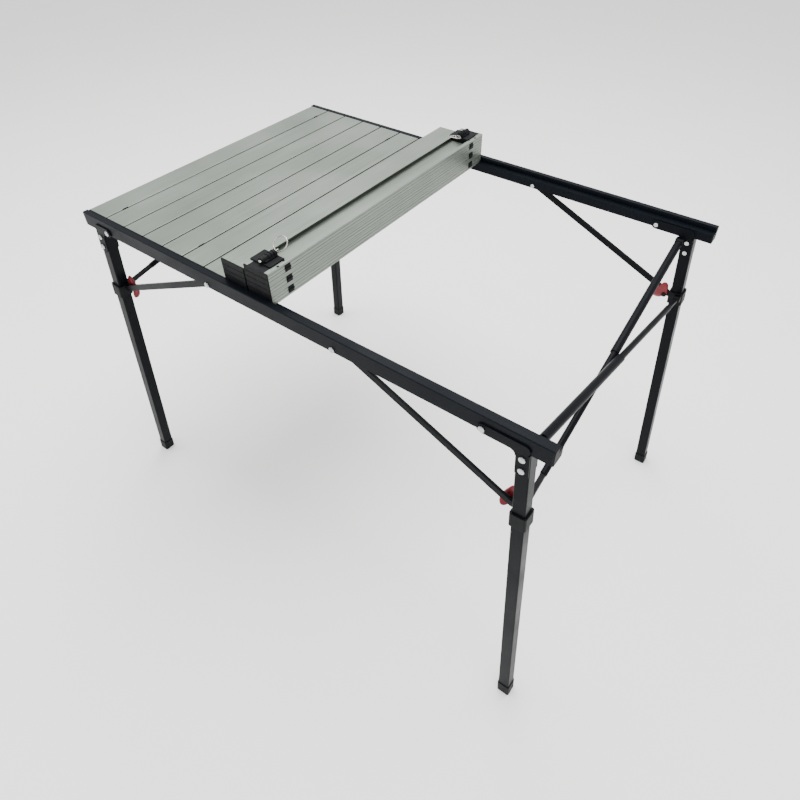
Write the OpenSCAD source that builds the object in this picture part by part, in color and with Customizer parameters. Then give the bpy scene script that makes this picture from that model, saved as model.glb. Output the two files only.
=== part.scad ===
// Folding picnic table: two side rails on splayed folding legs, with a slatted
// aluminium top whose right half is folded up, accordion fashion, on the left half.
// +Z up, X along the rails, Y across them. Origin at the bottom centre of the box
// round the table, between the feet. Millimetres.

/* [Overall] */
// Height of the table top above the floor
table_h = 700; // [600:5:850]
// Length of a side rail with its end caps
rail_len = 1024; // [900:1:1250]
// Width over the outer faces of the two rails
frame_w = 665; // [560:1:800]

/* [Rails] */
// Width of a rail, from its outer face to the edge of its ledge
rail_w = 24; // [20:0.5:32]
// Height of a rail, from its open bottom to the top of its lip
rail_h = 28; // [24:0.5:36]
// Width of the raised lip outside the slats
lip_w = 11; // [8:0.5:14]
// Wall of the rail extrusion
rail_wall = 1.8; // [1.2:0.1:2.4]
// Thickness of a rail's end cap flange
cap_t = 3; // [2:0.5:5]

/* [Legs] */
// Width of the square leg tube
leg_w = 22; // [18:0.5:28]
// Wall of the leg tube
leg_wall = 1.4; // [1:0.1:2.5]
// Distance from a rail's end to a leg's axis at the rail
leg_inset = 42.6; // [34:0.1:70]
// Outward lean of a leg along the rail, in degrees
lean_x = 4.31; // [0:0.01:8]
// Outward lean of a leg across the rail, in degrees
lean_y = 2.27; // [0:0.01:5]
// Gap between a leg's top end and the rail
leg_gap = 1.5; // [1.5:0.5:5]
// Wall of a foot cap
foot_wall = 1.4; // [1:0.1:3]
// Height of a foot cap
foot_h = 26; // [15:1:40]

/* [Folding brackets] */
// Distance from a right leg's axis to its fold pivot, along the rail
pivot_in_right = 63.4; // [50:0.1:90]
// Distance from a left leg's axis to its fold pivot, along the rail
pivot_in_left = 31; // [24:0.1:40]
// Height of the fold pivots above the rail's open bottom
pivot_rise = 6; // [5:0.5:9]
// Thickness of a bracket plate
plate_t = 2.2; // [1.5:0.1:3]
// Height of a bracket's arm along the rail
arm_h = 17; // [14:1:20]
// Length of a bracket down the leg
drop_h = 48; // [44:1:70]
// Radius of a rivet's shank
rivet_r = 3; // [2:0.1:4]
// Angle that the right legs fold through
fold_right = 88.3; // [60:0.1:92]
// Angle that the left legs fold through
fold_left = 92.6; // [60:0.1:94]

/* [Sliders and levers] */
// Height of the strut pivots on the legs above the floor
slider_z = 535; // [480:1:580]
// Height of a slider's collar
slider_h = 27; // [20:1:36]
// Wall of a slider's collar
slider_wall = 3; // [2:0.1:5]
// Width of a release lever
lever_w = 7; // [6:0.5:8]

/* [Struts] */
// Distance from the table's middle to the right struts' rail pivots
strut_x_right = 136; // [110:1:160]
// Distance from the table's middle to the left struts' rail pivots
strut_x_left = 152; // [110:1:170]
// Thickness of a strut
strut_t = 5; // [4:0.5:5.5]
// Depth of a strut
strut_w = 12; // [9:0.5:14]
// Distance between the planes of the right and left struts, which fold past each other
strut_step = 6; // [5.8:0.1:7]

/* [Cross braces] */
// Outer radius of a brace's thick tube
brace_r = 7.5; // [6:0.1:8]
// Outer radius of a brace's thin tube
brace_inner_r = 5.8; // [4:0.1:6.5]
// Length of the thin tube that shows beyond the thick one
brace_show = 316; // [250:1:330]
// Distance from the hub to the thin tube's hidden end
brace_back = 20; // [19:1:40]
// Length of a brace's end fitting at its slider
brace_end_l = 54; // [48:1:70]
// Offset of the first brace's hub from the leg's middle plane, outwards
brace_hub_a = -12; // [-14:0.5:-10]
// Offset of the first brace's slider end from the leg's middle plane, outwards
brace_end_a = -3.5; // [-5:0.5:-2]
// Offset of the second brace from the leg's middle plane, outwards
brace_off_b = 6; // [6:0.5:8]

/* [Table top] */
// Number of slats in the whole top
slats = 18; // [18:1:18]
// Thickness of a slat
slat_t = 10.2; // [8:0.1:12]
// Gap between two slats
slat_gap = 3; // [2.6:0.1:5]
// Clearance between two folded layers
layer_gap = 0.3; // [0.2:0.1:1]
// Wall of the slat extrusion
slat_wall = 1.4; // [1:0.1:2]
// Width of a slat's inturned flange
flange_w = 8; // [5:0.5:12]
// Clearance between a slat's end and the rail's lip
slat_clear = 1; // [0.5:0.1:3]
// Thickness of a slat's end cap
slat_cap_t = 2; // [1:0.5:4]
// Distance of a hinge link from the slat's end
link_in = 45; // [30:1:60]
// Length of a hinge link
link_l = 12; // [8:0.5:20]

/* [Latches] */
// Length of a latch housing along the slat
latch_l = 46; // [36:1:60]
// Radius of the latch plunger
plunger_r = 3; // [2:0.1:4]
// Travel of the latch plunger
plunger_travel = 8; // [4:0.5:12]
// Middle radius of the pull ring
ring_r = 14; // [10:0.5:16]
// Radius of the pull ring's wire
ring_wire = 0.9; // [0.6:0.1:1.5]
// Lean of the near pull ring from upright, in degrees
ring_lean_near = 48; // [0:1:60]
// Lean of the far pull ring from upright, in degrees
ring_lean_far = 72; // [0:1:80]

/* [Hidden] */
$fn = 40;

black = "#15181c";
red = "#a81525";
steel = "#c8cbcc";
alloy = "#a9b0a8";

right = 1;
left = -1;
near = -1;
far = 1;

fit = 0.3;
press = 0.05;
nudge = 0.01;

// A rivet's head and tail: how far each stands out round the shank, and its thickness
head_rim = 2.2;
head_t = 2;
tail_rim = 1.2;
tail_t = 1.4;

// Rail section
rail_bottom = table_h - rail_h;
ledge_z = table_h - slat_t;
rail_out = frame_w / 2;
rail_in = rail_out - rail_w;
lip_in = rail_out - lip_w;
rail_tube_len = rail_len - 2 * cap_t;
rail_mid_y = rail_out - rail_w / 2;

// Leg axis: it leans outwards, and its top end is just under the rail
leg_x = rail_len / 2 - leg_inset;
leg_y = rail_out - leg_w / 2;
leg_top_z = rail_bottom - leg_gap;
tan_x = tan(lean_x);
tan_y = tan(lean_y);
leg_n = sqrt(1 + tan_x * tan_x + tan_y * tan_y);
leg_rot = [asin(tan_y / leg_n), -atan(tan_x), 0];
leg_len = (leg_top_z - 5) * leg_n;
leg_round = 2;
leg_rivet_zs = [-12, -34];
slider_t = (leg_top_z - slider_z) * leg_n;
pivot_x_right = leg_x - pivot_in_right;
pivot_x_left = leg_x - pivot_in_left;
pivot_z = rail_bottom + pivot_rise;
strut_z = pivot_z - 1;

// Slider details, measured in the leg's own frame from the strut pivot
slider_top = 5;
slider_bottom = slider_top - slider_h;
collar_w = leg_w + 2 * (fit + slider_wall);
eye_r = strut_w / 2;
ear_reach = collar_w / 2 + eye_r + 0.5;
strut_mid_y = rail_mid_y + 1.5;
ear_gap = 0.6;
ear_t = 2.2;
lever_gap = 0.4;
pin_head_t = 1.4;

// Braces, in the leg's own frame
hub_y = -(leg_w / 2 + plate_t + 2 + brace_r);
hub_z = -7;
hub_pin_r = 2.5;
brace_eye_t = 9;
brace_foot_y = -(collar_w / 2 + 1.2 + brace_inner_r);
brace_foot_z = -2;
brace_bore = brace_inner_r + 0.25;
brace_end_h = 6.2;
foot_eye_t = 8;
cheek_t = 2;
cheek_gap = 0.5;

// Table top: 1 slat, four pairs, then the same again mirrored about the middle fold
slat_field = rail_tube_len - 0.4;
slat_pitch = (slat_field + slat_gap) / slats;
slat_w = slat_pitch - slat_gap;
slat_end_y = lip_in - slat_clear;
slat_len = 2 * (slat_end_y - slat_cap_t);
layer = slat_t + layer_gap;
link_y = slat_end_y - link_in;
knuckle_r = 1.2;
leaf_h = 6;

// Latches: the boss stays clear of the rail and the leg brackets when the panel is laid flat
boss_end_y = rail_in - fit - plate_t - 1.5;
latch_in_y = slat_end_y - slat_cap_t - latch_l;
boss_r = plunger_r + 2.6;
end_slat_top = table_h + 5 * layer;
plunger_z = end_slat_top + plunger_r + 2.4;
latch_x = -slat_gap / 2 - slat_w / 2 - 2;
plunger_tip_y = rail_in - 0.8;
plunger_tail_y = latch_in_y - 7;
ring_y = plunger_tail_y + 3;

function rot_y(v, a) = [v[0] * cos(a) + v[2] * sin(a), v[1], -v[0] * sin(a) + v[2] * cos(a)];
function rot_x(v, a) = [v[0], v[1] * cos(a) - v[2] * sin(a), v[1] * sin(a) + v[2] * cos(a)];
function leg_vec(v) = rot_y(rot_x(v, leg_rot[0]), leg_rot[1]);
function leg_point(v) = [leg_x, leg_y, leg_top_z] + leg_vec(v);
function leg_local(p) = rot_x(rot_y(p - [leg_x, leg_y, leg_top_z], -leg_rot[1]), -leg_rot[0]);
function flip_y(v) = [v[0], -v[1], v[2]];

// Middle plane of the struts of one end, and the faces of the ear and lever beside them
function strut_y(end) = strut_mid_y - end * strut_step / 2;
function ear_out(end) =
    strut_y(end) - strut_t / 2 - ear_gap - leg_y - tan_y * (leg_top_z - slider_z);
function lever_out(end) = ear_out(end) - ear_t - lever_gap;
function lever_in(end) = lever_out(end) - lever_w;

// Places children drawn for the right far corner at any corner
module corner(end, side) {
    mirror([end == left ? 1 : 0, 0, 0])
        mirror([0, side == near ? 1 : 0, 0])
            children();
}

// Draws children in the leg's own frame: origin at the leg's top, the leg along -Z
module leg_frame() {
    translate([leg_x, leg_y, leg_top_z])
        rotate(leg_rot)
            children();
}

module slider_frame() {
    leg_frame()
        translate([0, 0, -slider_t])
            children();
}

module rod_x(r, x0, x1) {
    translate([x0, 0, 0])
        rotate([0, 90, 0])
            cylinder(r = r, h = x1 - x0);
}

module rod_y(r, y0, y1) {
    translate([0, y1, 0])
        rotate([90, 0, 0])
            cylinder(r = r, h = y1 - y0);
}

// Box from one corner to the other
module block(a, b) {
    translate(a)
        cube(b - a);
}

module round_square(w, r) {
    square([w - 2 * r, w], center = true);
    square([w, w - 2 * r], center = true);
    for (x = [-1, 1], y = [-1, 1])
        translate([x * (w / 2 - r), y * (w / 2 - r)])
            circle(r);
}

// A section drawn in Y and Z, extruded along X
module along_x(x0, x1) {
    translate([x0, 0, 0])
        rotate([90, 0, 90])
            linear_extrude(x1 - x0)
                children();
}

// A section drawn in X and Z, extruded along Y
module along_y(y0, y1) {
    translate([0, y1, 0])
        rotate([90, 0, 0])
            linear_extrude(y1 - y0)
                children();
}

// ---- Rails ----

// Rail profile on the far side: raised lip, ledge for the slats, channel open below
module rail_outline() {
    polygon([
        [rail_in, rail_bottom], [rail_out, rail_bottom], [rail_out, table_h - 1],
        [rail_out - 1, table_h], [lip_in, table_h], [lip_in, ledge_z], [rail_in, ledge_z]
    ]);
}

module rail_hollow() {
    polygon([
        [rail_in + rail_wall, rail_bottom - nudge], [rail_out - rail_wall, rail_bottom - nudge],
        [rail_out - rail_wall, table_h - rail_wall], [lip_in + rail_wall, table_h - rail_wall],
        [lip_in + rail_wall, ledge_z - rail_wall], [rail_in + rail_wall, ledge_z - rail_wall]
    ]);
}

module rail_shape() {
    difference() {
        along_x(-rail_tube_len / 2, rail_tube_len / 2)
            difference() {
                rail_outline();
                rail_hollow();
            }
        for (x = [strut_x_right, -strut_x_left])
            translate([x, 0, strut_z])
                rod_y(rivet_r + press, rail_in - 1, rail_out + 1);
        for (x = [pivot_x_right, -pivot_x_left])
            translate([x, 0, pivot_z])
                rod_y(rivet_r + press, rail_in - 1, rail_out + 1);
    }
}

module near_rail() {
    color(black)
        mirror([0, 1, 0])
            rail_shape();
}

module far_rail() {
    color(black)
        rail_shape();
}

// End cap: a flange over the profile and a plug inside the channel
module rail_end_caps() {
    plug_l = 14;
    plug_h = 9;
    color(black)
        for (end = [right, left], side = [near, far])
            corner(end, side) {
                along_x(rail_tube_len / 2, rail_len / 2)
                    rail_outline();
                block(
                    [rail_tube_len / 2 - plug_l, rail_in + rail_wall + press, ledge_z - rail_wall - plug_h],
                    [rail_tube_len / 2 + nudge, rail_out - rail_wall - press, ledge_z - rail_wall - press]
                );
            }
}

// A rivet through a rail, from its inner tail to the outside of what it holds
module rail_rivet(x, z, y_in, y_out) {
    translate([x, 0, z]) {
        rod_y(rivet_r, y_in - nudge, y_out + nudge);
        rod_y(rivet_r + head_rim, y_out, y_out + head_t);
        rod_y(rivet_r + tail_rim, y_in - tail_t, y_in);
    }
}

module rail_rivets() {
    color(steel)
        for (side = [near, far])
            corner(right, side) {
                for (x = [strut_x_right, -strut_x_left])
                    rail_rivet(x, strut_z, rail_in - press, rail_out + press);
                for (x = [pivot_x_right, -pivot_x_left])
                    rail_rivet(x, pivot_z, rail_in - 2 * fit - plate_t, rail_out + 2 * fit + plate_t);
            }
}

// ---- Legs ----

module leg_tube() {
    difference() {
        leg_frame()
            translate([0, 0, -leg_len])
                linear_extrude(leg_len)
                    difference() {
                        round_square(leg_w, leg_round);
                        round_square(leg_w - 2 * leg_wall, leg_round - leg_wall / 2);
                    }
        leg_frame()
            for (z = leg_rivet_zs)
                translate([0, 0, z])
                    rod_y(rivet_r + press, -leg_w, leg_w);
    }
}

module leg(end, side) {
    color(black)
        corner(end, side)
            leg_tube();
}

module foot_caps(end) {
    reach = leg_top_z * leg_n;
    color(black)
        for (side = [near, far])
            corner(end, side)
                difference() {
                    leg_frame()
                        translate([0, 0, -reach - 4])
                            linear_extrude(foot_h + 4)
                                round_square(leg_w + 2 * foot_wall, leg_round + foot_wall);
                    leg_frame()
                        translate([0, 0, -leg_len - press])
                            linear_extrude(foot_h + 4)
                                round_square(leg_w + 2 * press, leg_round);
                    translate([leg_x, leg_y, -20])
                        cube([200, 200, 40], center = true);
                }
}

// Bracket outline in X and Z: an arm along the rail to the pivot, and a tongue down the leg
module bracket_outline(pivot_x) {
    inner = leg_x - leg_w / 2;
    fillet = 9;
    translate([pivot_x, pivot_z])
        circle(arm_h / 2);
    translate([pivot_x, pivot_z - arm_h / 2])
        square([leg_x + 2 - pivot_x, arm_h]);
    translate([leg_x + 2, pivot_z])
        circle(arm_h / 2);
    difference() {
        translate([inner - fillet, pivot_z - arm_h / 2 - fillet])
            square([fillet + 1, fillet + 1]);
        translate([inner - fillet, pivot_z - arm_h / 2 - fillet])
            circle(fillet);
    }
}

// One plate of a bracket, between y0 and y0 + plate_t at the rail, and on the leg's face at leg_side
module bracket_plate(pivot_x, y0, leg_side) {
    tongue_w = leg_w - 1;
    difference() {
        union() {
            along_y(y0, y0 + plate_t)
                bracket_outline(pivot_x);
            leg_frame()
                block(
                    [-tongue_w / 2, min(leg_side, leg_side + sign(leg_side) * plate_t), -drop_h + 6],
                    [tongue_w / 2, max(leg_side, leg_side + sign(leg_side) * plate_t), -0.5]
                );
            leg_frame()
                translate([0, 0, -drop_h + 6])
                    rod_y(
                        tongue_w / 2 - 4,
                        min(leg_side, leg_side + sign(leg_side) * plate_t),
                        max(leg_side, leg_side + sign(leg_side) * plate_t)
                    );
        }
        translate([pivot_x, 0, pivot_z])
            rod_y(rivet_r + 0.08, y0 - 5, y0 + 5);
        leg_frame()
            for (z = leg_rivet_zs)
                translate([0, 0, z])
                    rod_y(rivet_r + press, -leg_w, leg_w);
    }
}

module leg_brackets(end) {
    pivot_x = end == right ? pivot_x_right : pivot_x_left;
    color(black)
        for (side = [near, far])
            corner(end, side) {
                bracket_plate(pivot_x, rail_out + fit, leg_w / 2);
                bracket_plate(pivot_x, rail_in - fit - plate_t, -leg_w / 2);
            }
    color(black) {
        corner(end, far)
            brace_hub(brace_hub_a);
        corner(end, near)
            brace_hub(brace_off_b);
    }
}

module leg_rivets(end) {
    grip = leg_w / 2 + plate_t;
    color(steel)
        for (side = [near, far], z = leg_rivet_zs)
            corner(end, side)
                leg_frame()
                    translate([0, 0, z]) {
                        rod_y(rivet_r, -grip - 0.3, grip + 0.3);
                        rod_y(rivet_r + head_rim, grip, grip + head_t - 0.2);
                        rod_y(rivet_r + tail_rim, -grip - tail_t, -grip);
                    }
}

// Hub for a cross brace: two cheeks and a pin, riveted to the inside of the leg's top
module brace_hub(off) {
    half = brace_eye_t / 2 + cheek_gap + cheek_t;
    base_out = -leg_w / 2 - plate_t - tail_t;
    leg_frame()
        translate([off, 0, hub_z]) {
            for (x = [-half, half - cheek_t]) {
                block([x, hub_y, -6], [x + cheek_t, base_out, 6]);
                translate([0, hub_y, 0])
                    rod_x(7, x, x + cheek_t);
            }
            block([-half, base_out - 1.2, -6], [half, base_out, 6]);
            translate([0, hub_y, 0])
                rod_x(hub_pin_r, -half, half);
        }
}

// ---- Sliders and levers ----

// Collar round the leg, with an ear for the strut and lever pin and a clevis for a brace
module slider(end, side) {
    brace_x = side == near ? brace_end_a : brace_off_b;
    half = foot_eye_t / 2 + cheek_gap + cheek_t;
    color(black)
        corner(end, side)
            slider_frame() {
                difference() {
                    union() {
                        translate([0, 0, slider_bottom])
                            linear_extrude(slider_h)
                                round_square(collar_w, 4);
                        block([-ear_reach, ear_out(end) - ear_t, -7], [-collar_w / 2 + 1, ear_out(end), 5]);
                        translate([-ear_reach, 0, 0])
                            rod_y(7, ear_out(end) - ear_t, ear_out(end));
                        for (x = [brace_x - half, brace_x + half - cheek_t])
                            translate([0, brace_foot_y, brace_foot_z]) {
                                rod_x(6, x, x + cheek_t);
                                block([x, 0, -6], [x + cheek_t, -collar_w / 2 + 1 - brace_foot_y, 6]);
                            }
                    }
                    translate([0, 0, slider_bottom - 1])
                        linear_extrude(slider_h + 2)
                            round_square(leg_w + 2 * fit, leg_round);
                }
                translate([0, brace_foot_y, brace_foot_z])
                    rod_x(hub_pin_r, brace_x - half, brace_x + half);
                translate([-ear_reach, 0, 0]) {
                    rod_y(rivet_r, lever_in(end) - pin_head_t, ear_out(end) - ear_t + nudge);
                    rod_y(rivet_r + 2, lever_in(end) - pin_head_t - 0.2, lever_in(end) - 0.2);
                }
            }
}

// Finger lever in X and Z about its pin: a nose up beside the leg and a pad below
module lever_outline() {
    difference() {
        union() {
            circle(5.5);
            polygon([
                [4.5, 24], [1, 27], [-4, 25], [-11, 12], [-17, -1], [-18.5, -8],
                [-15, -12], [-9, -8], [-4, -4], [2, -4], [4.5, 2]
            ]);
        }
        circle(rivet_r + 0.06);
    }
}

module lever(end, side) {
    color(red)
        corner(end, side)
            slider_frame()
                translate([-ear_reach, 0, 0])
                    along_y(lever_in(end), lever_out(end))
                        lever_outline();
}

// ---- Struts ----

function strut_x(end) = end == right ? strut_x_right : strut_x_left;
function slider_pivot() = leg_point([-ear_reach, 0, -slider_t]);

module strut(end, side) {
    a = [strut_x(end), 0, strut_z];
    b = slider_pivot();
    dx = b[0] - a[0];
    dz = b[2] - a[2];
    length = sqrt(dx * dx + dz * dz);
    color(black)
        corner(end, side)
            translate([a[0], strut_y(end), a[2]])
                rotate([0, -atan2(dz, dx), 0])
                    difference() {
                        union() {
                            for (x = [0, length])
                                translate([x, 0, 0])
                                    rod_y(eye_r, -strut_t / 2, strut_t / 2);
                            block([0, -strut_t / 2, -eye_r], [length, strut_t / 2, eye_r]);
                        }
                        rod_y(rivet_r + 0.1, -strut_t, strut_t);
                    }
}

// ---- Cross braces ----

// Hub and slider ends of a brace at rest, in the frame of the leg that holds its hub
function brace_ends(hub_x, foot_x) = [
    [hub_x, hub_y, hub_z],
    leg_local(flip_y(leg_point([foot_x, brace_foot_y, brace_foot_z - slider_t])))
];
brace_a = brace_ends(brace_hub_a, brace_end_a);
brace_b = brace_ends(brace_off_b, brace_off_b);

// Turns children so that their +X runs from one point to the other
module aim(ends) {
    d = ends[1] - ends[0];
    flat = sqrt(d[0] * d[0] + d[1] * d[1]);
    translate(ends[0])
        rotate([0, -atan2(d[2], flat), atan2(d[1], d[0])])
            children();
}

// Places children on the line of a brace: the first has its hub on the far leg
module on_brace(end, ends) {
    corner(end, ends == brace_a ? far : near)
        leg_frame()
            aim(ends)
                children();
}

module brace_tube(end, ends) {
    tube_end = norm(ends[1] - ends[0]) - brace_show;
    color(black)
        on_brace(end, ends)
            difference() {
                union() {
                    rod_y(6.5, -brace_eye_t / 2, brace_eye_t / 2);
                    block([0, -brace_eye_t / 2, -4], [16, brace_eye_t / 2, 4]);
                    rod_x(brace_r, 11, tube_end);
                }
                rod_x(brace_bore, 18, tube_end + 1);
                rod_y(hub_pin_r + 0.1, -brace_eye_t, brace_eye_t);
            }
}

module brace_rod(end, ends) {
    rod_end = norm(ends[1] - ends[0]) - brace_end_l;
    color(black)
        on_brace(end, ends)
            difference() {
                rod_x(brace_inner_r, brace_back, rod_end);
                rod_x(brace_inner_r - 1.2, brace_back - 1, rod_end - 2);
            }
}

// Flat end fitting pinned to a slider, in line with the thin tube
module brace_end(end, ends) {
    length = norm(ends[1] - ends[0]);
    color(black)
        on_brace(end, ends)
            difference() {
                union() {
                    block(
                        [length - brace_end_l, -foot_eye_t / 2, -brace_end_h / 2],
                        [length, foot_eye_t / 2, brace_end_h / 2]
                    );
                    translate([length, 0, 0])
                        rod_y(5.5, -foot_eye_t / 2, foot_eye_t / 2);
                }
                translate([length, 0, 0])
                    rod_y(hub_pin_r + 0.1, -foot_eye_t, foot_eye_t);
            }
}

// ---- Table top ----

// Slat section in X and Z, laid flat with its face at z = 0 and its left edge at x = 0
module slat_section() {
    edge_r = 0.8;
    groove = 0.5;
    difference() {
        union() {
            translate([0, -slat_t])
                square([slat_w, slat_t - edge_r]);
            translate([edge_r, -slat_t])
                square([slat_w - 2 * edge_r, slat_t]);
            for (x = [edge_r, slat_w - edge_r])
                translate([x, -edge_r])
                    circle(edge_r);
        }
        translate([slat_wall + 0.2, -slat_t + slat_wall])
            square([slat_w - 2 * slat_wall - 0.4, slat_t - 2 * slat_wall]);
        translate([flange_w, -slat_t - 1])
            square([slat_w - 2 * flange_w, slat_t / 2]);
        for (x = [-1, slat_w - groove])
            translate([x, -slat_t * 0.62])
                square([1 + groove, 0.9]);
    }
}

// Places children drawn for a flat slat whose left edge is at x, on a layer of the folded top.
// Layer 0 is the flat half. Odd layers lie face down.
module on_layer(x, level) {
    turned = level % 2 == 1;
    lift = level == 0 ? 0 : layer_gap + (level - 1) * layer + (turned ? 0 : slat_t);
    translate([x, 0, table_h + lift])
        mirror([0, 0, turned ? 1 : 0])
            children();
}

function flat_x(i) = -slat_field / 2 + (i - 1) * slat_pitch;
near_x = -slat_gap / 2 - slat_w;
away_x = near_x - slat_pitch;

// Left edges of the slats in panel p, counted from the left end of the laid top
function panel_xs(p) =
    p == 1 ? [flat_x(1)] :
    p <= 5 ? [flat_x(2 * p - 2), flat_x(2 * p - 1)] :
    p < 10 ? [away_x, near_x] : [near_x];
function panel_level(p) = p <= 5 ? 0 : p - 5;

module panel(p) {
    color(alloy)
        for (x = panel_xs(p))
            on_layer(x, panel_level(p))
                along_y(-slat_len / 2, slat_len / 2)
                    slat_section();
}

module slat_caps(p) {
    color(black)
        for (x = panel_xs(p), side = [near, far])
            on_layer(x, panel_level(p))
                mirror([0, side == near ? 1 : 0, 0])
                    along_y(slat_len / 2, slat_end_y)
                        translate([0.3, -slat_t + 0.3])
                            square([slat_w - 0.6, slat_t - 0.6]);
}

// A clip that joins the two slats of a panel
module joiner(x, level) {
    clip_h = 5;
    color(black)
        for (y = [-link_y, link_y])
            on_layer(x, level)
                translate([slat_w, y - link_l / 2, -slat_t + 1])
                    cube([slat_gap, link_l, clip_h]);
}

// Half of a hinge link about its pin. The plate lies on a slat's side at x = -slat_gap / 2 and
// goes down from the pin. A middle half has one knuckle, an outer half has two and the pin.
module link_leaf(middle) {
    third = link_l / 3;
    outer_y = third / 2 + 0.15;
    spans = middle ? [[-third / 2, third / 2]] : [[-link_l / 2, -outer_y], [outer_y, link_l / 2]];
    plate_x = -slat_gap / 2;
    plate_out = plate_x + 1.1;
    difference() {
        union() {
            block([plate_x, -link_l / 2, -leaf_h], [plate_out, link_l / 2, -1.7]);
            for (s = spans) {
                rod_y(knuckle_r, s[0], s[1]);
                block([plate_x, s[0], -1.7 - nudge], [plate_out, s[1], -0.5]);
            }
        }
        if (middle)
            rod_y(0.62, -link_l, link_l);
    }
    if (!middle)
        rod_y(0.55, -link_l / 2, link_l / 2);
}

// Hinge lines of the folded top: h = 0 joins the flat half to the first layer
function hinge_x(h) = h % 2 == 0 ? 0 : -2 * slat_pitch;
function hinge_z(h) = table_h + layer_gap / 2 + h * layer;

// The leaf of hinge h that lies on the layer below it, or on the layer above it
module folded_leaf(h, above) {
    color(black)
        for (y = [-link_y, link_y])
            translate([hinge_x(h), y, hinge_z(h)])
                mirror([h % 2, 0, 0])
                    mirror([0, 0, above ? 1 : 0])
                        link_leaf(!above);
}

// Both leaves of a hinge in the flat half, with its pin at height z
module flat_hinge(x, z, up) {
    color(black)
        for (y = [-link_y, link_y])
            translate([x, y, z])
                mirror([0, 0, up]) {
                    link_leaf(true);
                    mirror([1, 0, 0])
                        link_leaf(false);
                }
}

module flat_slat_caps() {
    for (p = [1 : 5])
        slat_caps(p);
}

module flat_panel_links() {
    for (p = [1 : 4])
        flat_hinge(
            flat_x(2 * p) - slat_gap / 2,
            p % 2 == 1 ? table_h + layer_gap / 2 : table_h - slat_t - layer_gap / 2,
            p % 2 == 1 ? 0 : 1
        );
    for (p = [2 : 5])
        joiner(flat_x(2 * p - 2), 0);
    folded_leaf(0, false);
}

module panel_fittings(p) {
    level = panel_level(p);
    slat_caps(p);
    if (p < 10) {
        joiner(away_x, level);
        folded_leaf(level, false);
    }
    folded_leaf(level - 1, true);
}

// ---- Latches ----

// One housing on the end slat, drawn for the far end: a base in the slat's hollow,
// a plate over its left flange, and a ribbed boss that carries the plunger
module latch_housing() {
    base_x0 = near_x + flange_w + 0.1;
    base_x1 = -slat_gap / 2 - flange_w - 0.1;
    floor_z = end_slat_top - slat_t + slat_wall;
    difference() {
        union() {
            block([base_x0, latch_in_y, floor_z], [base_x1, slat_len / 2, end_slat_top - 0.2]);
            block([base_x0, latch_in_y, floor_z], [base_x1, boss_end_y, end_slat_top + 1]);
            block([near_x, latch_in_y, end_slat_top], [base_x1, boss_end_y, end_slat_top + 2.2]);
            block([latch_x - 8, latch_in_y + 2, end_slat_top + 1], [latch_x + 8, boss_end_y - 4, plunger_z]);
            translate([latch_x, 0, plunger_z])
                rod_y(boss_r, latch_in_y, boss_end_y);
            for (k = [0 : 2])
                translate([latch_x, 0, plunger_z])
                    rod_y(boss_r + 1.2, latch_in_y + 3 + 6 * k, latch_in_y + 6 + 6 * k);
        }
        translate([latch_x, 0, plunger_z])
            rod_y(plunger_r + 0.08, latch_in_y - 1, boss_end_y + 1);
    }
}

module latch_housings() {
    color(black)
        for (side = [near, far])
            corner(right, side)
                latch_housing();
}

module plunger(side) {
    tail_flat = 2.4;
    color(steel)
        corner(right, side)
            translate([latch_x, 0, plunger_z])
                difference() {
                    union() {
                        rod_y(plunger_r, latch_in_y - 1, plunger_tip_y - 2);
                        translate([0, plunger_tip_y, 0])
                            rotate([90, 0, 0])
                                cylinder(r1 = plunger_r - 1.2, r2 = plunger_r, h = 2);
                        block(
                            [-tail_flat / 2, plunger_tail_y, -plunger_r],
                            [tail_flat / 2, latch_in_y, plunger_r]
                        );
                    }
                    translate([0, ring_y, 0])
                        rod_x(ring_wire + 0.5, -plunger_r, plunger_r);
                }
}

module pull_ring(side, lean) {
    color(steel)
        corner(right, side)
            translate([latch_x, ring_y, plunger_z])
                rotate([lean, 0, 0])
                    translate([0, 0, ring_r])
                        rotate([90, 0, 0])
                            rotate_extrude()
                                translate([ring_r, 0])
                                    circle(ring_wire, $fn = 16);
}

near_rail();
far_rail();
rail_end_caps();
rail_rivets();
panel(1);  // top_panel_1
panel(2);  // top_panel_2
panel(3);  // top_panel_3
panel(4);  // top_panel_4
panel(5);  // top_panel_5
panel(6);  // top_panel_6
panel(7);  // top_panel_7
panel(8);  // top_panel_8
panel(9);  // top_panel_9
panel(10);  // top_panel_10
flat_slat_caps();
flat_panel_links();
panel_fittings(6);  // panel_6_fittings
panel_fittings(7);  // panel_7_fittings
panel_fittings(8);  // panel_8_fittings
panel_fittings(9);  // panel_9_fittings
panel_fittings(10);  // panel_10_fittings
latch_housings();
plunger(near);  // near_plunger
plunger(far);  // far_plunger
pull_ring(near, ring_lean_near);  // near_pull_ring
pull_ring(far, ring_lean_far);  // far_pull_ring
leg(right, near);  // right_near_leg
leg(right, far);  // right_far_leg
leg(left, near);  // left_near_leg
leg(left, far);  // left_far_leg
leg_brackets(right);  // right_leg_brackets
leg_brackets(left);  // left_leg_brackets
foot_caps(right);  // right_foot_caps
foot_caps(left);  // left_foot_caps
leg_rivets(right);  // right_leg_rivets
leg_rivets(left);  // left_leg_rivets
slider(right, near);  // right_near_slider
slider(right, far);  // right_far_slider
slider(left, near);  // left_near_slider
slider(left, far);  // left_far_slider
lever(right, near);  // right_near_lever
lever(right, far);  // right_far_lever
lever(left, near);  // left_near_lever
lever(left, far);  // left_far_lever
strut(right, near);  // right_near_strut
strut(right, far);  // right_far_strut
strut(left, near);  // left_near_strut
strut(left, far);  // left_far_strut
brace_tube(right, brace_a);  // right_brace_tube_a
brace_tube(right, brace_b);  // right_brace_tube_b
brace_tube(left, brace_a);  // left_brace_tube_a
brace_tube(left, brace_b);  // left_brace_tube_b
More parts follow.
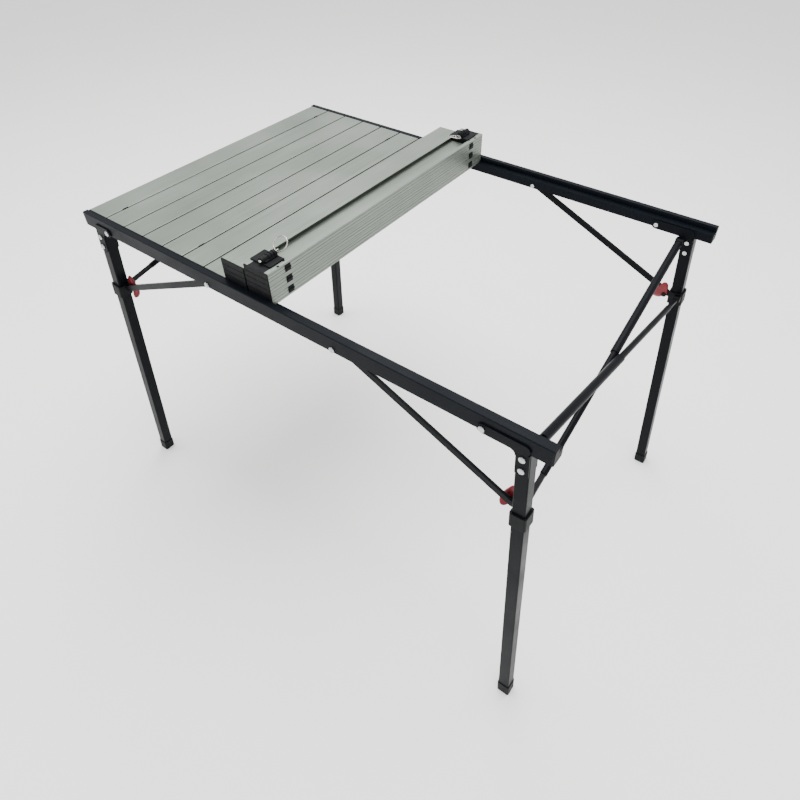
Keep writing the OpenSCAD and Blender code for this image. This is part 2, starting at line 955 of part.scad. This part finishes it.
brace_rod(right, brace_a);  // right_brace_rod_a
brace_rod(right, brace_b);  // right_brace_rod_b
brace_rod(left, brace_a);  // left_brace_rod_a
brace_rod(left, brace_b);  // left_brace_rod_b
brace_end(right, brace_a);  // right_brace_end_a
brace_end(right, brace_b);  // right_brace_end_b
brace_end(left, brace_a);  // left_brace_end_a
brace_end(left, brace_b);  // left_brace_end_b
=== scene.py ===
# %% [markdown]
# A folding picnic table, finished in Blender.
# The engineering model arrives as a frame of real sizes, in metres, with every rail, slat,
# leg and latch in place. This script gives each of them a surface and adds the small shapes
# that an engineering model leaves out: domed rivets, split rings, rounded finger levers and
# small plugs.

# %% Load the frame and keep its box
import math

import bpy
import numpy as np
from mathutils import Matrix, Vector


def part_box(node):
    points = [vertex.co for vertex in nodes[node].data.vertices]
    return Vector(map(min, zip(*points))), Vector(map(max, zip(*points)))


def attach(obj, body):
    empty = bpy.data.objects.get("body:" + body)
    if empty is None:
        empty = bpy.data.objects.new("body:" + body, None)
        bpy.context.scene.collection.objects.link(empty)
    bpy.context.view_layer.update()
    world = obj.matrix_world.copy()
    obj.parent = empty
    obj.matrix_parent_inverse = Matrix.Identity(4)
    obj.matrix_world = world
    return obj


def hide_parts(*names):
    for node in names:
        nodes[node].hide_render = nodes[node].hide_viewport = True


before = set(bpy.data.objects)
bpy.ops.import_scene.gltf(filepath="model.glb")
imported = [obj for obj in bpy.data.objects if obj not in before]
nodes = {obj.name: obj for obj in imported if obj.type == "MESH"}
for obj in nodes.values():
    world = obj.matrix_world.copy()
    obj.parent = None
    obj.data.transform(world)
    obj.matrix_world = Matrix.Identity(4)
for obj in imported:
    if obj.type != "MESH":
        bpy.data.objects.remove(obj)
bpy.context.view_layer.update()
MM = 0.001

# %% [markdown]
# The camera comes first. It stands to the right of the near side, a little above head height,
# and looks down over the open half of the top. A short lens gives the strong perspective of a
# table seen from close by. The lens shift only slides the picture in its frame, which keeps the
# upright lines as they are.

# %% Camera
CAMERA_PLACE = (0.6711, -0.8450, 1.3334)
YAW, PITCH, ROLL = (math.radians(angle) for angle in (36.80, 42.25, -0.72))
LENS_OVER_SENSOR = 0.8006
LENS_SHIFT = (-0.01406, -0.05956)


def aim_camera(camera, yaw, pitch, roll):
    """Turns the camera from three angles: the view goes round by yaw from +Y towards -X, down
    by pitch, and the picture is then turned by roll about the line of sight."""
    forward = np.array([
        -math.sin(yaw) * math.cos(pitch), math.cos(yaw) * math.cos(pitch), -math.sin(pitch)
    ])
    right = np.array([math.cos(yaw), math.sin(yaw), 0.0])
    up = np.cross(right, forward)
    turned_right = math.cos(roll) * right + math.sin(roll) * up
    turned_up = math.cos(roll) * up - math.sin(roll) * right
    matrix = np.eye(4)
    matrix[:3, 0], matrix[:3, 1], matrix[:3, 2] = turned_right, turned_up, -forward
    matrix[:3, 3] = camera.location
    camera.matrix_world = Matrix(matrix.tolist())


camera_data = bpy.data.cameras.new("camera")
camera_data.lens = LENS_OVER_SENSOR * camera_data.sensor_width
camera_data.shift_x, camera_data.shift_y = LENS_SHIFT
camera = bpy.data.objects.new("camera", camera_data)
bpy.context.scene.collection.objects.link(camera)
camera.location = CAMERA_PLACE
aim_camera(camera, YAW, PITCH, ROLL)
bpy.context.scene.camera = camera
print("camera: lens", round(camera_data.lens, 2), "mm")

# %% [markdown]
# Product pictures like this are lit by big soft boxes in a pale room. Black paint shows almost
# no colour of its own, so what the eye reads on the rails and legs is the reflection of those
# boxes. One long box hangs over the table, one stands to the left and a weaker one fills in
# from the right and front.

# %% Room and lights
TABLE_MIDDLE = (0.0, 0.0, 0.6)
ROOM_STRENGTH = 1.35


def soft_box(name, place, target, size, power):
    """A rectangular lamp at place that faces target. size is its width and height in metres,
    and power is in watts."""
    lamp = bpy.data.lights.new(name, "AREA")
    lamp.shape = "RECTANGLE"
    lamp.size, lamp.size_y = size
    lamp.energy = power
    item = bpy.data.objects.new(name, lamp)
    bpy.context.scene.collection.objects.link(item)
    away = np.array(place, float) - np.array(target, float)
    away /= np.linalg.norm(away)
    side = np.cross([0.0, 1.0, 0.0], away)
    side /= np.linalg.norm(side)
    matrix = np.eye(4)
    matrix[:3, 0], matrix[:3, 1], matrix[:3, 2] = side, np.cross(away, side), away
    matrix[:3, 3] = place
    item.matrix_world = Matrix(matrix.tolist())
    return item


lamps = [
    soft_box("overhead_box", (-0.3, 0.5, 3.0), TABLE_MIDDLE, (2.6, 2.2), 150),
    soft_box("left_box", (-2.6, -1.2, 2.0), TABLE_MIDDLE, (1.6, 2.2), 22),
    soft_box("right_box", (2.6, -1.0, 1.6), TABLE_MIDDLE, (1.2, 2.0), 18),
]
world = bpy.data.worlds.new("pale_room")
world.use_nodes = True
room = world.node_tree.nodes["Background"].inputs
room["Color"].default_value = (1.0, 1.0, 1.0, 1.0)
room["Strength"].default_value = ROOM_STRENGTH
bpy.context.scene.world = world
print("lights:", [lamp.name for lamp in lamps])

# %% [markdown]
# Every surface is made by formula. Numpy works out a whole grid of points at once, and this
# function turns the grid into a mesh: neighbours along the two directions become the corners
# of four-sided faces. A grid can close on itself, as a tube or a ring does, and a pole cap
# closes each open end with one extra point.

# %% Grid to mesh


def grid_faces(rows, columns, wrap_rows, wrap_columns, first=0):
    """Corner numbers of the quads of a grid: each cell joins a point with its next neighbours,
    and a wrapped direction also joins its last points to its first."""
    i = np.arange(rows if wrap_rows else rows - 1)[:, None]
    j = np.arange(columns if wrap_columns else columns - 1)[None, :]
    i2, j2 = (i + 1) % rows, (j + 1) % columns
    cells = [i * columns + j, i * columns + j2, i2 * columns + j2, i2 * columns + j]
    return first + np.stack(cells, axis=-1).reshape(-1, 4)


def cap_faces(ring, centre, flip):
    """Triangles from one end ring of a grid to a point at its middle."""
    following = np.roll(ring, -1)
    ends = (following, ring) if flip else (ring, following)
    return np.stack([ends[0], ends[1], np.full_like(ring, centre)], axis=-1)


def mesh_piece(name, points, faces, material, smooth=True):
    """A new object at the origin from an array of points and lists of faces."""
    mesh = bpy.data.meshes.new(name)
    corners_of_faces = [face for part in faces for face in part.tolist()]
    mesh.from_pydata(points.reshape(-1, 3).tolist(), [], corners_of_faces)
    mesh.materials.append(material)
    mesh.polygons.foreach_set("use_smooth", np.full(len(mesh.polygons), smooth))
    mesh.update()
    piece = bpy.data.objects.new(name, mesh)
    bpy.context.scene.collection.objects.link(piece)
    return piece


def closed_tube(grid):
    """Points and faces of a tube whose sections wrap round: the side, and a cap at each end."""
    rows, columns = grid.shape[:2]
    points = np.vstack([grid.reshape(-1, 3), grid[0].mean(axis=0), grid[-1].mean(axis=0)])
    first, last = np.arange(columns), np.arange(columns) + (rows - 1) * columns
    faces = [
        grid_faces(rows, columns, False, True),
        cap_faces(first, rows * columns, True),
        cap_faces(last, rows * columns + 1, False),
    ]
    return points, faces


print("grid of 3 x 4 points gives", len(grid_faces(3, 4, False, True)), "faces")

# %% [markdown]
# A material is a small network of nodes. One function adds a node, sets its options and values,
# and links what comes from other nodes. Colours are written as the hex values that a designer
# would read off a colour card, and are turned to linear light first, because that is what the
# renderer works with.

# %% Node and colour helpers
EDGE_MM = 0.7


def linear(code):
    """Linear light from an sRGB hex colour: each channel is divided by 12.92 when very dark,
    and otherwise raised to the power 2.4 after a small offset."""
    channels = np.array([int(code[k:k + 2], 16) for k in (1, 3, 5)]) / 255
    light = np.where(channels <= 0.04045, channels / 12.92, ((channels + 0.055) / 1.055) ** 2.4)
    return (*light.tolist(), 1.0)


def add(tree, kind, options=None, stops=None, **values):
    """Adds a node. options are its settings, and stops the places and hex colours of a ramp.
    Each value is a number, a colour or another node's output; its key is the input's name with
    _ for a space, or n and the input's number."""
    node = tree.nodes.new("ShaderNode" + kind)
    for key, value in (options or {}).items():
        setattr(node, key, value)
    for element, (position, colour) in zip(node.color_ramp.elements if stops else (), stops or ()):
        element.position, element.color = position, linear(colour)
    for key, value in values.items():
        numbered = key[0] == "n" and key[1:].isdigit()
        socket = node.inputs[int(key[1:]) if numbered else key.replace("_", " ")]
        if isinstance(value, bpy.types.NodeSocket):
            tree.links.new(value, socket)
        else:
            socket.default_value = value
    return node


def new_material(name):
    """An empty material with a Principled shader, and its tree, shader and Object coordinates."""
    material = bpy.data.materials.new(name)
    material.use_nodes = True
    tree = material.node_tree
    tree.nodes.clear()
    shader = add(tree, "BsdfPrincipled")
    add(tree, "OutputMaterial", Surface=shader.outputs["BSDF"])
    place = add(tree, "TexCoord").outputs["Object"]
    return material, tree, shader, place


def cells_per_metre(size_mm):
    """The texture scale at which one blob of a Noise pattern is about size_mm across."""
    return 1 / (size_mm * MM)


def finish_shader(tree, shader, colour, roughness, height, strength, depth_mm):
    """Links a material's colour, roughness and bump to its shader. The bump starts from a normal
    that rounds every sharp edge by less than a millimetre, as a tumbled or coated edge is."""
    tree.links.new(colour, shader.inputs["Base Color"])
    tree.links.new(roughness, shader.inputs["Roughness"])
    edge = add(tree, "Bevel", {"samples": 4}, Radius=EDGE_MM * MM)
    bump = add(
        tree, "Bump", Height=height, Strength=strength, Distance=depth_mm * MM,
        Normal=edge.outputs["Normal"]
    )
    tree.links.new(bump.outputs["Normal"], shader.inputs["Normal"])


print("mid grey in linear light:", round(linear("#808080")[0], 3))

# %% [markdown]
# The floor is a matt studio sheet, almost white. It only catches the soft shadow of the table.

# %% Studio floor
FLOOR_HALF = 14.0


def studio_floor():
    material, tree, shader, place = new_material("matt_paper_backdrop")
    mottle = add(tree, "TexNoise", Vector=place, Scale=3.0, Detail=2.0)
    ramp = add(
        tree, "ValToRGB", stops=[(0, "#F6F6F5"), (1, "#FBFBFA")], Fac=mottle.outputs["Fac"]
    )
    tree.links.new(ramp.outputs["Color"], shader.inputs["Base Color"])
    shader.inputs["Roughness"].default_value = 0.95
    shader.inputs["Specular IOR Level"].default_value = 0.2
    corners = np.array([[-1, -1, 0], [1, -1, 0], [1, 1, 0], [-1, 1, 0]], float) * FLOOR_HALF
    floor = mesh_piece("floor", corners, [np.array([[0, 1, 2, 3]])], material, smooth=False)
    return floor


floor = studio_floor()
print("floor:", tuple(round(v, 1) for v in floor.dimensions))

# %% [markdown]
# The slats are extruded aluminium, satin anodised in a warm grey. The extrusion die leaves fine
# lines along each slat, which stretch every highlight across them. Lines a tenth of a
# millimetre apart would vanish at this distance, so they are drawn at one millimetre. Anodising
# also takes a little differently from place to place, which gives soft lighter and darker
# areas. The narrow gaps between slats get painted shade: an occlusion node measures how boxed
# in each point is, and not from where one looks, and the colour is darkened there.

# %% Anodised aluminium
DIE_LINE_MM, PATCH_MM, GAP_REACH_MM = 1.0, 160, 7


def anodised_aluminium():
    material, tree, shader, place = new_material("satin_anodised_aluminium")
    along = add(tree, "Mapping", Vector=place, Scale=(1.0, 0.004, 1.0)).outputs["Vector"]
    lines = add(
        tree, "TexNoise", Vector=along, Scale=cells_per_metre(DIE_LINE_MM), Detail=3.0,
        Roughness=0.6
    ).outputs["Fac"]
    patches = add(
        tree, "TexNoise", Vector=place, Scale=cells_per_metre(PATCH_MM), Detail=2.0
    ).outputs["Fac"]
    mixed = add(tree, "Mix", {"data_type": "FLOAT"}, n0=0.4, n2=lines, n3=patches)
    metal = add(
        tree, "ValToRGB", stops=[(0.3, "#646B63"), (0.7, "#858C84")], Fac=mixed.outputs[0]
    ).outputs["Color"]
    # Painted shade: where the occlusion node finds a point boxed in, as in the gaps between slats,
    # the metal colour is multiplied by a dark grey green.
    boxed_in = add(
        tree, "AmbientOcclusion", {"samples": 6}, Distance=GAP_REACH_MM * MM
    ).outputs["AO"]
    shade = add(
        tree, "ValToRGB", stops=[(0.25, "#30352F"), (0.75, "#FFFFFF")], Fac=boxed_in
    ).outputs["Color"]
    colour = add(
        tree, "Mix", {"data_type": "RGBA", "blend_type": "MULTIPLY"}, n0=1.0, n6=metal, n7=shade
    ).outputs[2]
    shine = add(
        tree, "MapRange", Value=lines, From_Min=0.3, From_Max=0.7, To_Min=0.33, To_Max=0.47
    ).outputs["Result"]
    shader.inputs["Metallic"].default_value = 0.75
    finish_shader(tree, shader, colour, shine, lines, 0.12, 0.2)
    return material


slat_metal = anodised_aluminium()
print("material:", slat_metal.name)

# %% [markdown]
# Rails, legs, struts and braces are powder coated: dry paint powder is sprayed on and baked, so
# it flows into a satin skin with the faint dimples called orange peel, one or two millimetres
# across. The black is slightly blue. Handling polishes it in places, which shows as patches of
# lower roughness rather than as colour.

# %% Powder coat
HANDLED_MM, SHINE_SPREAD = 70, 0.08


def powder_coat(name, dark, light, peel_mm, rough):
    """Satin powder coat: dark and light are its hex colours, peel_mm the size of its dimples and
    rough its mean roughness."""
    material, tree, shader, place = new_material(name)
    peel = add(
        tree, "TexNoise", Vector=place, Scale=cells_per_metre(peel_mm), Detail=2.0
    ).outputs["Fac"]
    handled = add(
        tree, "TexNoise", Vector=place, Scale=cells_per_metre(HANDLED_MM), Detail=4.0
    ).outputs["Fac"]
    colour = add(
        tree, "ValToRGB", stops=[(0.35, dark), (0.75, light)], Fac=peel
    ).outputs["Color"]
    shine = add(
        tree, "MapRange", Value=handled, From_Min=0.3, From_Max=0.7,
        To_Min=rough - SHINE_SPREAD, To_Max=rough + SHINE_SPREAD
    ).outputs["Result"]
    shader.inputs["IOR"].default_value = 1.5
    shader.inputs["Specular IOR Level"].default_value = 0.05
    finish_shader(tree, shader, colour, shine, peel, 0.2, 0.2)
    return material


rail_paint = powder_coat("satin_black_powder_coat", "#06090D", "#10141A", 2.0, 0.38)
tube_paint = powder_coat("black_powder_coat_on_tube", "#08090C", "#121418", 1.6, 0.36)
plate_paint = powder_coat("black_powder_coat_on_plate", "#07090C", "#111318", 1.2, 0.42)
print("materials:", rail_paint.name, tube_paint.name, plate_paint.name)

# %% [markdown]
# End caps, collars, hinge links and latch housings are injection moulded nylon. The mould is
# spark eroded, which prints a fine even grain of about half a millimetre on the part. It is
# duller and a little greyer than the paint, so the caps stand out from the rails.

# %% Moulded nylon
SPARK_GRAIN_MM, FLOW_MM = 0.6, 18


def moulded_nylon():
    material, tree, shader, place = new_material("spark_textured_black_nylon")
    grain = add(
        tree, "TexNoise", Vector=place, Scale=cells_per_metre(SPARK_GRAIN_MM), Detail=2.0
    ).outputs["Fac"]
    flow = add(
        tree, "TexNoise", Vector=place, Scale=cells_per_metre(FLOW_MM), Detail=2.0
    ).outputs["Fac"]
    colour = add(
        tree, "ValToRGB", stops=[(0.3, "#08090B"), (0.8, "#131417")], Fac=flow
    ).outputs["Color"]
    shine = add(
        tree, "MapRange", Value=grain, From_Min=0.3, From_Max=0.7, To_Min=0.45, To_Max=0.62
    ).outputs["Result"]
    shader.inputs["IOR"].default_value = 1.53
    shader.inputs["Specular IOR Level"].default_value = 0.08
    finish_shader(tree, shader, colour, shine, grain, 0.3, 0.15)
    return material


nylon = moulded_nylon()
print("material:", nylon.name)

# %% [markdown]
# The levers are the one spot of colour: glossy ABS, moulded in a deep red. Pigment swirls where
# the melt flowed round the pin hole, so the red drifts gently from place to place.

# %% Red ABS
SWIRL_MM, RIPPLE_MM = 14, 5


def red_abs():
    material, tree, shader, place = new_material("glossy_red_abs")
    swirl = add(
        tree, "TexNoise", Vector=place, Scale=cells_per_metre(SWIRL_MM), Detail=3.0,
        Distortion=0.8
    ).outputs["Fac"]
    ripple = add(
        tree, "TexNoise", Vector=place, Scale=cells_per_metre(RIPPLE_MM), Detail=1.0
    ).outputs["Fac"]
    colour = add(
        tree, "ValToRGB", stops=[(0.25, "#560511"), (0.8, "#80101E")], Fac=swirl
    ).outputs["Color"]
    shine = add(
        tree, "MapRange", Value=ripple, From_Min=0.3, From_Max=0.7, To_Min=0.3, To_Max=0.4
    ).outputs["Result"]
    shader.inputs["IOR"].default_value = 1.54
    shader.inputs["Specular IOR Level"].default_value = 0.3
    finish_shader(tree, shader, colour, shine, ripple, 0.04, 0.2)
    return material


lever_red = red_abs()
print("material:", lever_red.name)

# %% [markdown]
# Rivets, latch plungers and pull rings are steel with a bright zinc or nickel plate. The plate
# is smooth but thin, so marks from tumbling in the factory show as tiny random scuffs.

# %% Plated steel
SCUFF_MM = 1.2


def plated_steel(name, dark, light, rough):
    """Bright plate: dark and light are its hex colours and rough its mean roughness."""
    material, tree, shader, place = new_material(name)
    scuffs = add(
        tree, "TexNoise", Vector=place, Scale=cells_per_metre(SCUFF_MM), Detail=4.0
    ).outputs["Fac"]
    colour = add(
        tree, "ValToRGB", stops=[(0.3, dark), (0.7, light)], Fac=scuffs
    ).outputs["Color"]
    shine = add(
        tree, "MapRange", Value=scuffs, From_Min=0.3, From_Max=0.7,
        To_Min=rough - 0.06, To_Max=rough + 0.1
    ).outputs["Result"]
    shader.inputs["Metallic"].default_value = 1.0
    finish_shader(tree, shader, colour, shine, scuffs, 0.15, 0.1)
    return material


rivet_zinc = plated_steel("bright_zinc_on_rivets", "#8F9394", "#D0D3D3", 0.22)
wire_nickel = plated_steel("nickel_on_spring_wire", "#A3A29C", "#D4D3CD", 0.18)
print("materials:", rivet_zinc.name, wire_nickel.name)

# %% [markdown]
# Each engineering node keeps its shape and gets its finish here, by what its name says it is.

# %% Finish for each node


def finish_for(name):
    """The material of a node. Caps, collars, links, end fittings and housings are nylon."""
    if name.startswith("top_panel"):
        return slat_metal
    if "rivets" in name:
        return rivet_zinc
    if name.endswith(("plunger", "ring")):
        return wire_nickel
    if name.endswith("lever"):
        return lever_red
    if name.endswith("leg_brackets"):
        return plate_paint
    if name.endswith("rail"):
        return rail_paint
    if name.endswith(("leg", "strut")) or "brace_tube" in name or "brace_rod" in name:
        return tube_paint
    return nylon


def paint_nodes():
    for name, item in nodes.items():
        item.data.materials.clear()
        item.data.materials.append(finish_for(name))


paint_nodes()
print("painted", len(nodes), "nodes")

# %% [markdown]
# A real rivet is domed by the press that closes it, with a small dimple where its mandrel broke
# off, and the dome throws a bright point and a dark rim. The engineering heads are flat discs.
# Each dome is a profile turned about the rivet's axis, so it is one grid: rows go out from the
# dimple to the rim, and columns go round. It sits on the flat head. From here on, sizes are in
# millimetres until a mesh is made.

# %% Rivet domes
HEAD_R, HEAD_T, DOME_H, RIM_GAP = 5.2, 2.0, 1.1, 0.15
DIMPLE_DEPTH, DIMPLE_WIDTH = 0.45, 0.22
DOME_ROWS, DOME_COLUMNS = 12, 24


def dome(centre, axis):
    """A dome at centre that faces along axis: its radius grows as the square root of the row,
    its height falls off as one minus the fourth power of radius, and a dimple with the shape
    of a bell curve is sunk in the middle."""
    u = np.sqrt(np.linspace(0.0, 1.0, DOME_ROWS))[1:, None]
    v = np.linspace(0, 2 * np.pi, DOME_COLUMNS, endpoint=False)[None, :]
    height = DOME_H * ((1 - u ** 4) - DIMPLE_DEPTH * np.exp(-((u / DIMPLE_WIDTH) ** 2)))
    axis = np.array(axis, float) / np.linalg.norm(axis)
    side = np.cross(axis, [0.0, 0.0, 1.0])
    side /= np.linalg.norm(side)
    up = np.cross(side, axis)
    radius = u[..., None] * (HEAD_R - RIM_GAP)
    return (
        np.array(centre, float) + radius * np.cos(v)[..., None] * side
        + radius * np.sin(v)[..., None] * up + height[..., None] * axis
    )


def join_grids(discs):
    """Points and faces of several discs, each a grid whose first row closes on one point at
    its middle."""
    points, faces, first = [], [], 0
    for grid in discs:
        rows, columns = grid.shape[:2]
        points += [grid.reshape(-1, 3), grid[0].mean(axis=0, keepdims=True)]
        faces.append(grid_faces(rows, columns, False, True, first)[:, ::-1])
        faces.append(cap_faces(first + np.arange(columns), first + rows * columns, False))
        first += rows * columns + 1
    return np.vstack(points) * MM, faces


print("one dome:", dome((0, 0, 0), (0, 1, 0)).shape[:2], "points")

# %% [markdown]
# Four rivets go through each rail. The two in the middle hold the struts and sit on the rail
# itself, and the outer two sit on the bracket plates, a little further out.

# %% Domes on the rails
RAIL_OUT, PLATE_OUT = 332.5, 335.3
RAIL_RIVETS = [
    (136, RAIL_OUT, 677), (-152, RAIL_OUT, 677), (406, PLATE_OUT, 678), (-438.4, PLATE_OUT, 678)
]


def rail_domes():
    grids = [
        dome((x, side * (y + HEAD_T), z), (0, side, 0))
        for side in (-1, 1) for x, y, z in RAIL_RIVETS
    ]
    piece = mesh_piece("rail_rivet_domes", *join_grids(grids), rivet_zinc)
    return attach(piece, "frame")


domes_on_rails = rail_domes()
print("domes on the rails:", len(domes_on_rails.data.polygons), "faces")

# %% [markdown]
# The legs lean two ways, along the table and across it. It is simplest to place things in a
# leg's own frame, whose origin is the top of the leg and whose z runs up the leg, and then to
# turn that frame by the two leans. The four legs differ only by a mirror, so end and side are
# each 1 or -1.

# %% Places on a leg
LEG_TOP = np.array([469.4, 321.5, 670.5])
LEAN_X, LEAN_Y = math.radians(4.31), math.radians(2.27)
LEG_STRETCH = math.sqrt(1 + math.tan(LEAN_X) ** 2 + math.tan(LEAN_Y) ** 2)


def leg_direction(vector, end, side):
    """A vector of a leg's own frame turned about X and then about Y by its two leans, and
    mirrored to its corner."""
    a, b = math.asin(math.tan(LEAN_Y) / LEG_STRETCH), -LEAN_X
    x, y, z = vector
    y, z = y * math.cos(a) - z * math.sin(a), y * math.sin(a) + z * math.cos(a)
    x, z = x * math.cos(b) + z * math.sin(b), -x * math.sin(b) + z * math.cos(b)
    return np.array([x * end, y * side, z])


def leg_basis(end, side):
    """The three directions of a leg's own frame, one in each row."""
    return np.stack([leg_direction(axis, end, side) for axis in np.eye(3)])


def on_leg(points, end, side):
    """Points of a leg's own frame, placed at its corner: its top plus each direction times
    the point's share of it."""
    return LEG_TOP * [end, side, 1] + np.asarray(points, float) @ leg_basis(end, side)


print("a leg is", round(LEG_STRETCH, 4), "times as long as it is high")

# %% [markdown]
# Two rivets, one above the other, fix each leg to its bracket. They stand on the outer plate, so
# their height over the leg's middle is half the tube, the plate and the flat head.

# %% Domes on the legs
TUBE_W, PLATE_T, DOME_SINK = 22, 2.2, 0.2
LEG_RIVET_ZS = (-12, -34)


def leg_domes(body, end):
    face = TUBE_W / 2 + PLATE_T + HEAD_T - DOME_SINK
    grids = [
        dome(on_leg((0, face, z), end, side), leg_direction((0, 1, 0), end, side))
        for side in (-1, 1) for z in LEG_RIVET_ZS
    ]
    piece = mesh_piece(body + "_rivet_domes", *join_grids(grids), rivet_zinc)
    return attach(piece, body)


domes_on_legs = [leg_domes("right_legs", 1), leg_domes("left_legs", -1)]
print("domes on the legs:", [len(piece.data.polygons) for piece in domes_on_legs], "faces")

# %% [markdown]
# The pull rings are split rings, like key rings: spring wire wound twice round, so the turns lie
# against each other and the two cut ends show. The engineering ring is one plain torus, so it
# is replaced. A circle is carried along a helix of almost two turns. The ring's place and lean
# are read from the box of the torus, and it is a little smaller, so that it stays inside.

# %% Split rings
TORUS_R, TORUS_WIRE = 14.0, 0.9
RING_R, WIRE_R, TURNS = 13.4, 0.55, 1.9
RING_STEPS, WIRE_SIDES = 96, 10


def split_ring(node, side, body):
    """Wire whose middle runs round the ring while it drifts across it by one wire width a
    turn; its section is a circle in the plane of the ring's radius and axis."""
    low, high = (np.array(corner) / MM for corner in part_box(node))
    centre = (low + high) / 2
    lean = math.acos(((high[2] - low[2]) / 2 - TORUS_WIRE) / TORUS_R)
    upward = np.array([0.0, -side * math.sin(lean), math.cos(lean)])
    across = np.array([1.0, 0.0, 0.0])
    axis = np.cross(across, upward)
    t = np.linspace(0, TURNS * 2 * np.pi, RING_STEPS)[:, None]
    s = np.linspace(0, 2 * np.pi, WIRE_SIDES, endpoint=False)[None, :]
    outward = np.cos(t)[..., None] * -upward + np.sin(t)[..., None] * across
    drift = (t / (2 * np.pi) - TURNS / 2) * WIRE_R * 2
    grid = (
        centre + outward * (RING_R + WIRE_R * np.cos(s))[..., None]
        + (drift + WIRE_R * np.sin(s))[..., None] * axis
    )
    points, faces = closed_tube(grid)
    piece = mesh_piece(node + "_wire", points * MM, faces, wire_nickel)
    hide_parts(node)
    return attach(piece, body)


rings = [
    split_ring("near_pull_ring", -1, "near_pull_ring"),
    split_ring("far_pull_ring", 1, "far_pull_ring"),
]
print("split rings:", [tuple(round(v / MM, 1) for v in ring.dimensions) for ring in rings])

# %% [markdown]
# A release lever is a moulded paddle. Fingers press it, so its edges are full and round and its
# lower end flares outwards. The engineering lever is a flat plate, so it is replaced by a
# pillow: an outline drawn as a smooth closed curve, filled in towards its middle, and thickened
# on both sides. The flare bends only the part that hangs below the strut, which would hit it
# otherwise.

# %% Release levers
LEVER_OUTLINE = [
    (5.0, 2), (5.2, 12), (4.5, 22), (0, 27), (-6, 25.5), (-12, 17), (-18, 7), (-22.5, -3),
    (-23.5, -12), (-18.5, -17), (-11, -15), (-5, -9.5), (1, -6)
]
LEVER_MIDDLE = np.array([-7.0, 4.0])
LEVER_HALF, LEVER_POINTS = 3.5, 104
FLARE, FLARE_FROM, FLARE_SPAN, FLARE_THICKER = 7.0, -2, 14, 0.25
PIVOT_HEIGHT, PIN_REACH = 535, 20.8
SLIDER_DROP = (LEG_TOP[2] - PIVOT_HEIGHT) * LEG_STRETCH
SHRINK_STEPS = np.concatenate([np.linspace(0.12, 0.9, 7), [0.96, 0.99, 1.0]])


def smooth_loop(corners, count):
    """A closed curve through the corners: each stretch is the Catmull-Rom cubic of its two ends
    and the corner before and after them."""
    p = np.array(corners, float)
    before, after, beyond = np.roll(p, 1, 0), np.roll(p, -1, 0), np.roll(p, -2, 0)
    t = np.linspace(0, 1, count // len(p), endpoint=False)[None, :, None]
    a, b, c, d = (q[:, None, :] for q in (before, p, after, beyond))
    curve = 0.5 * (
        2 * b + (c - a) * t + (2 * a - 5 * b + 4 * c - d) * t ** 2
        + (3 * b - 3 * c + d - a) * t ** 3
    )
    return curve.reshape(-1, 2)


def lever_plane(node, end, side):
    """The middle of a lever's thickness in its leg's frame, from the corners of its mesh."""
    mesh = nodes[node].data
    corners = np.zeros(len(mesh.vertices) * 3, np.float32)
    mesh.vertices.foreach_get("co", corners)
    away = corners.reshape(-1, 3) / MM - LEG_TOP * [end, side, 1]
    across = (away @ leg_basis(end, side).T)[:, 1]
    return (across.min() + across.max()) / 2


def lever(node, end, side):
    """A pillow: the outline shrinks to its middle by s, and the thickness is the square root
    of one minus the sixth power of s. Below the strut it moves outwards by the square of the
    depth. A single mirror turns it inside out, so its columns then run backwards."""
    outline = smooth_loop(LEVER_OUTLINE, LEVER_POINTS)
    s = np.concatenate([SHRINK_STEPS, SHRINK_STEPS[-2::-1]])[:, None, None]
    face = np.where(np.arange(len(s)) < len(SHRINK_STEPS), 1.0, -1.0)[:, None]
    flat = LEVER_MIDDLE + s * (outline - LEVER_MIDDLE)[None]
    thick = face * LEVER_HALF * np.sqrt(np.maximum(1 - s[..., 0] ** 6, 0))
    depth = np.clip((FLARE_FROM - flat[..., 1]) / FLARE_SPAN, 0, 1)
    y = lever_plane(node, end, side) + thick * (1 + FLARE_THICKER * depth) + FLARE * depth ** 2
    local = np.stack([flat[..., 0] - PIN_REACH, y, flat[..., 1] - SLIDER_DROP], axis=-1)
    placed = on_leg(local, end, side)
    if end * side < 0:
        placed = placed[:, ::-1]
    points, faces = closed_tube(placed)
    piece = mesh_piece(node + "_paddle", points * MM, faces, lever_red)
    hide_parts(node)
    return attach(piece, node)


levers = [
    lever(f"{end_name}_{side_name}_lever", end, side)
    for end_name, end in (("right", 1), ("left", -1))
    for side_name, side in (("near", -1), ("far", 1))
]
print("levers:", [tuple(round(v / MM, 1) for v in piece.dimensions) for piece in levers])

# %% [markdown]
# Two black nylon plugs close the screw holes in the end slat's flange beside each latch. Each
# is a low dome, made by the same turned profile as the rivets.

# %% Flange plugs
FLANGE_TOP, PLUG_SHARE = 752.5, 0.5
PLUG_PLACES = [(-8.5, 276.4), (-4.0, 293.6)]


def flange_plugs():
    """Half-size domes. Each is made facing Y, and turned about X to face up."""
    disc = dome((0, 0, 0), (0, 1, 0)) * PLUG_SHARE
    upward = np.stack([disc[..., 0], -disc[..., 2], disc[..., 1]], axis=-1)
    grids = [upward + [x, side * y, FLANGE_TOP] for side in (-1, 1) for x, y in PLUG_PLACES]
    piece = mesh_piece("flange_plugs", *join_grids(grids), nylon)
    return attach(piece, "folding_panel_10")


plugs = flange_plugs()
print("plugs:", len(plugs.data.polygons), "faces")
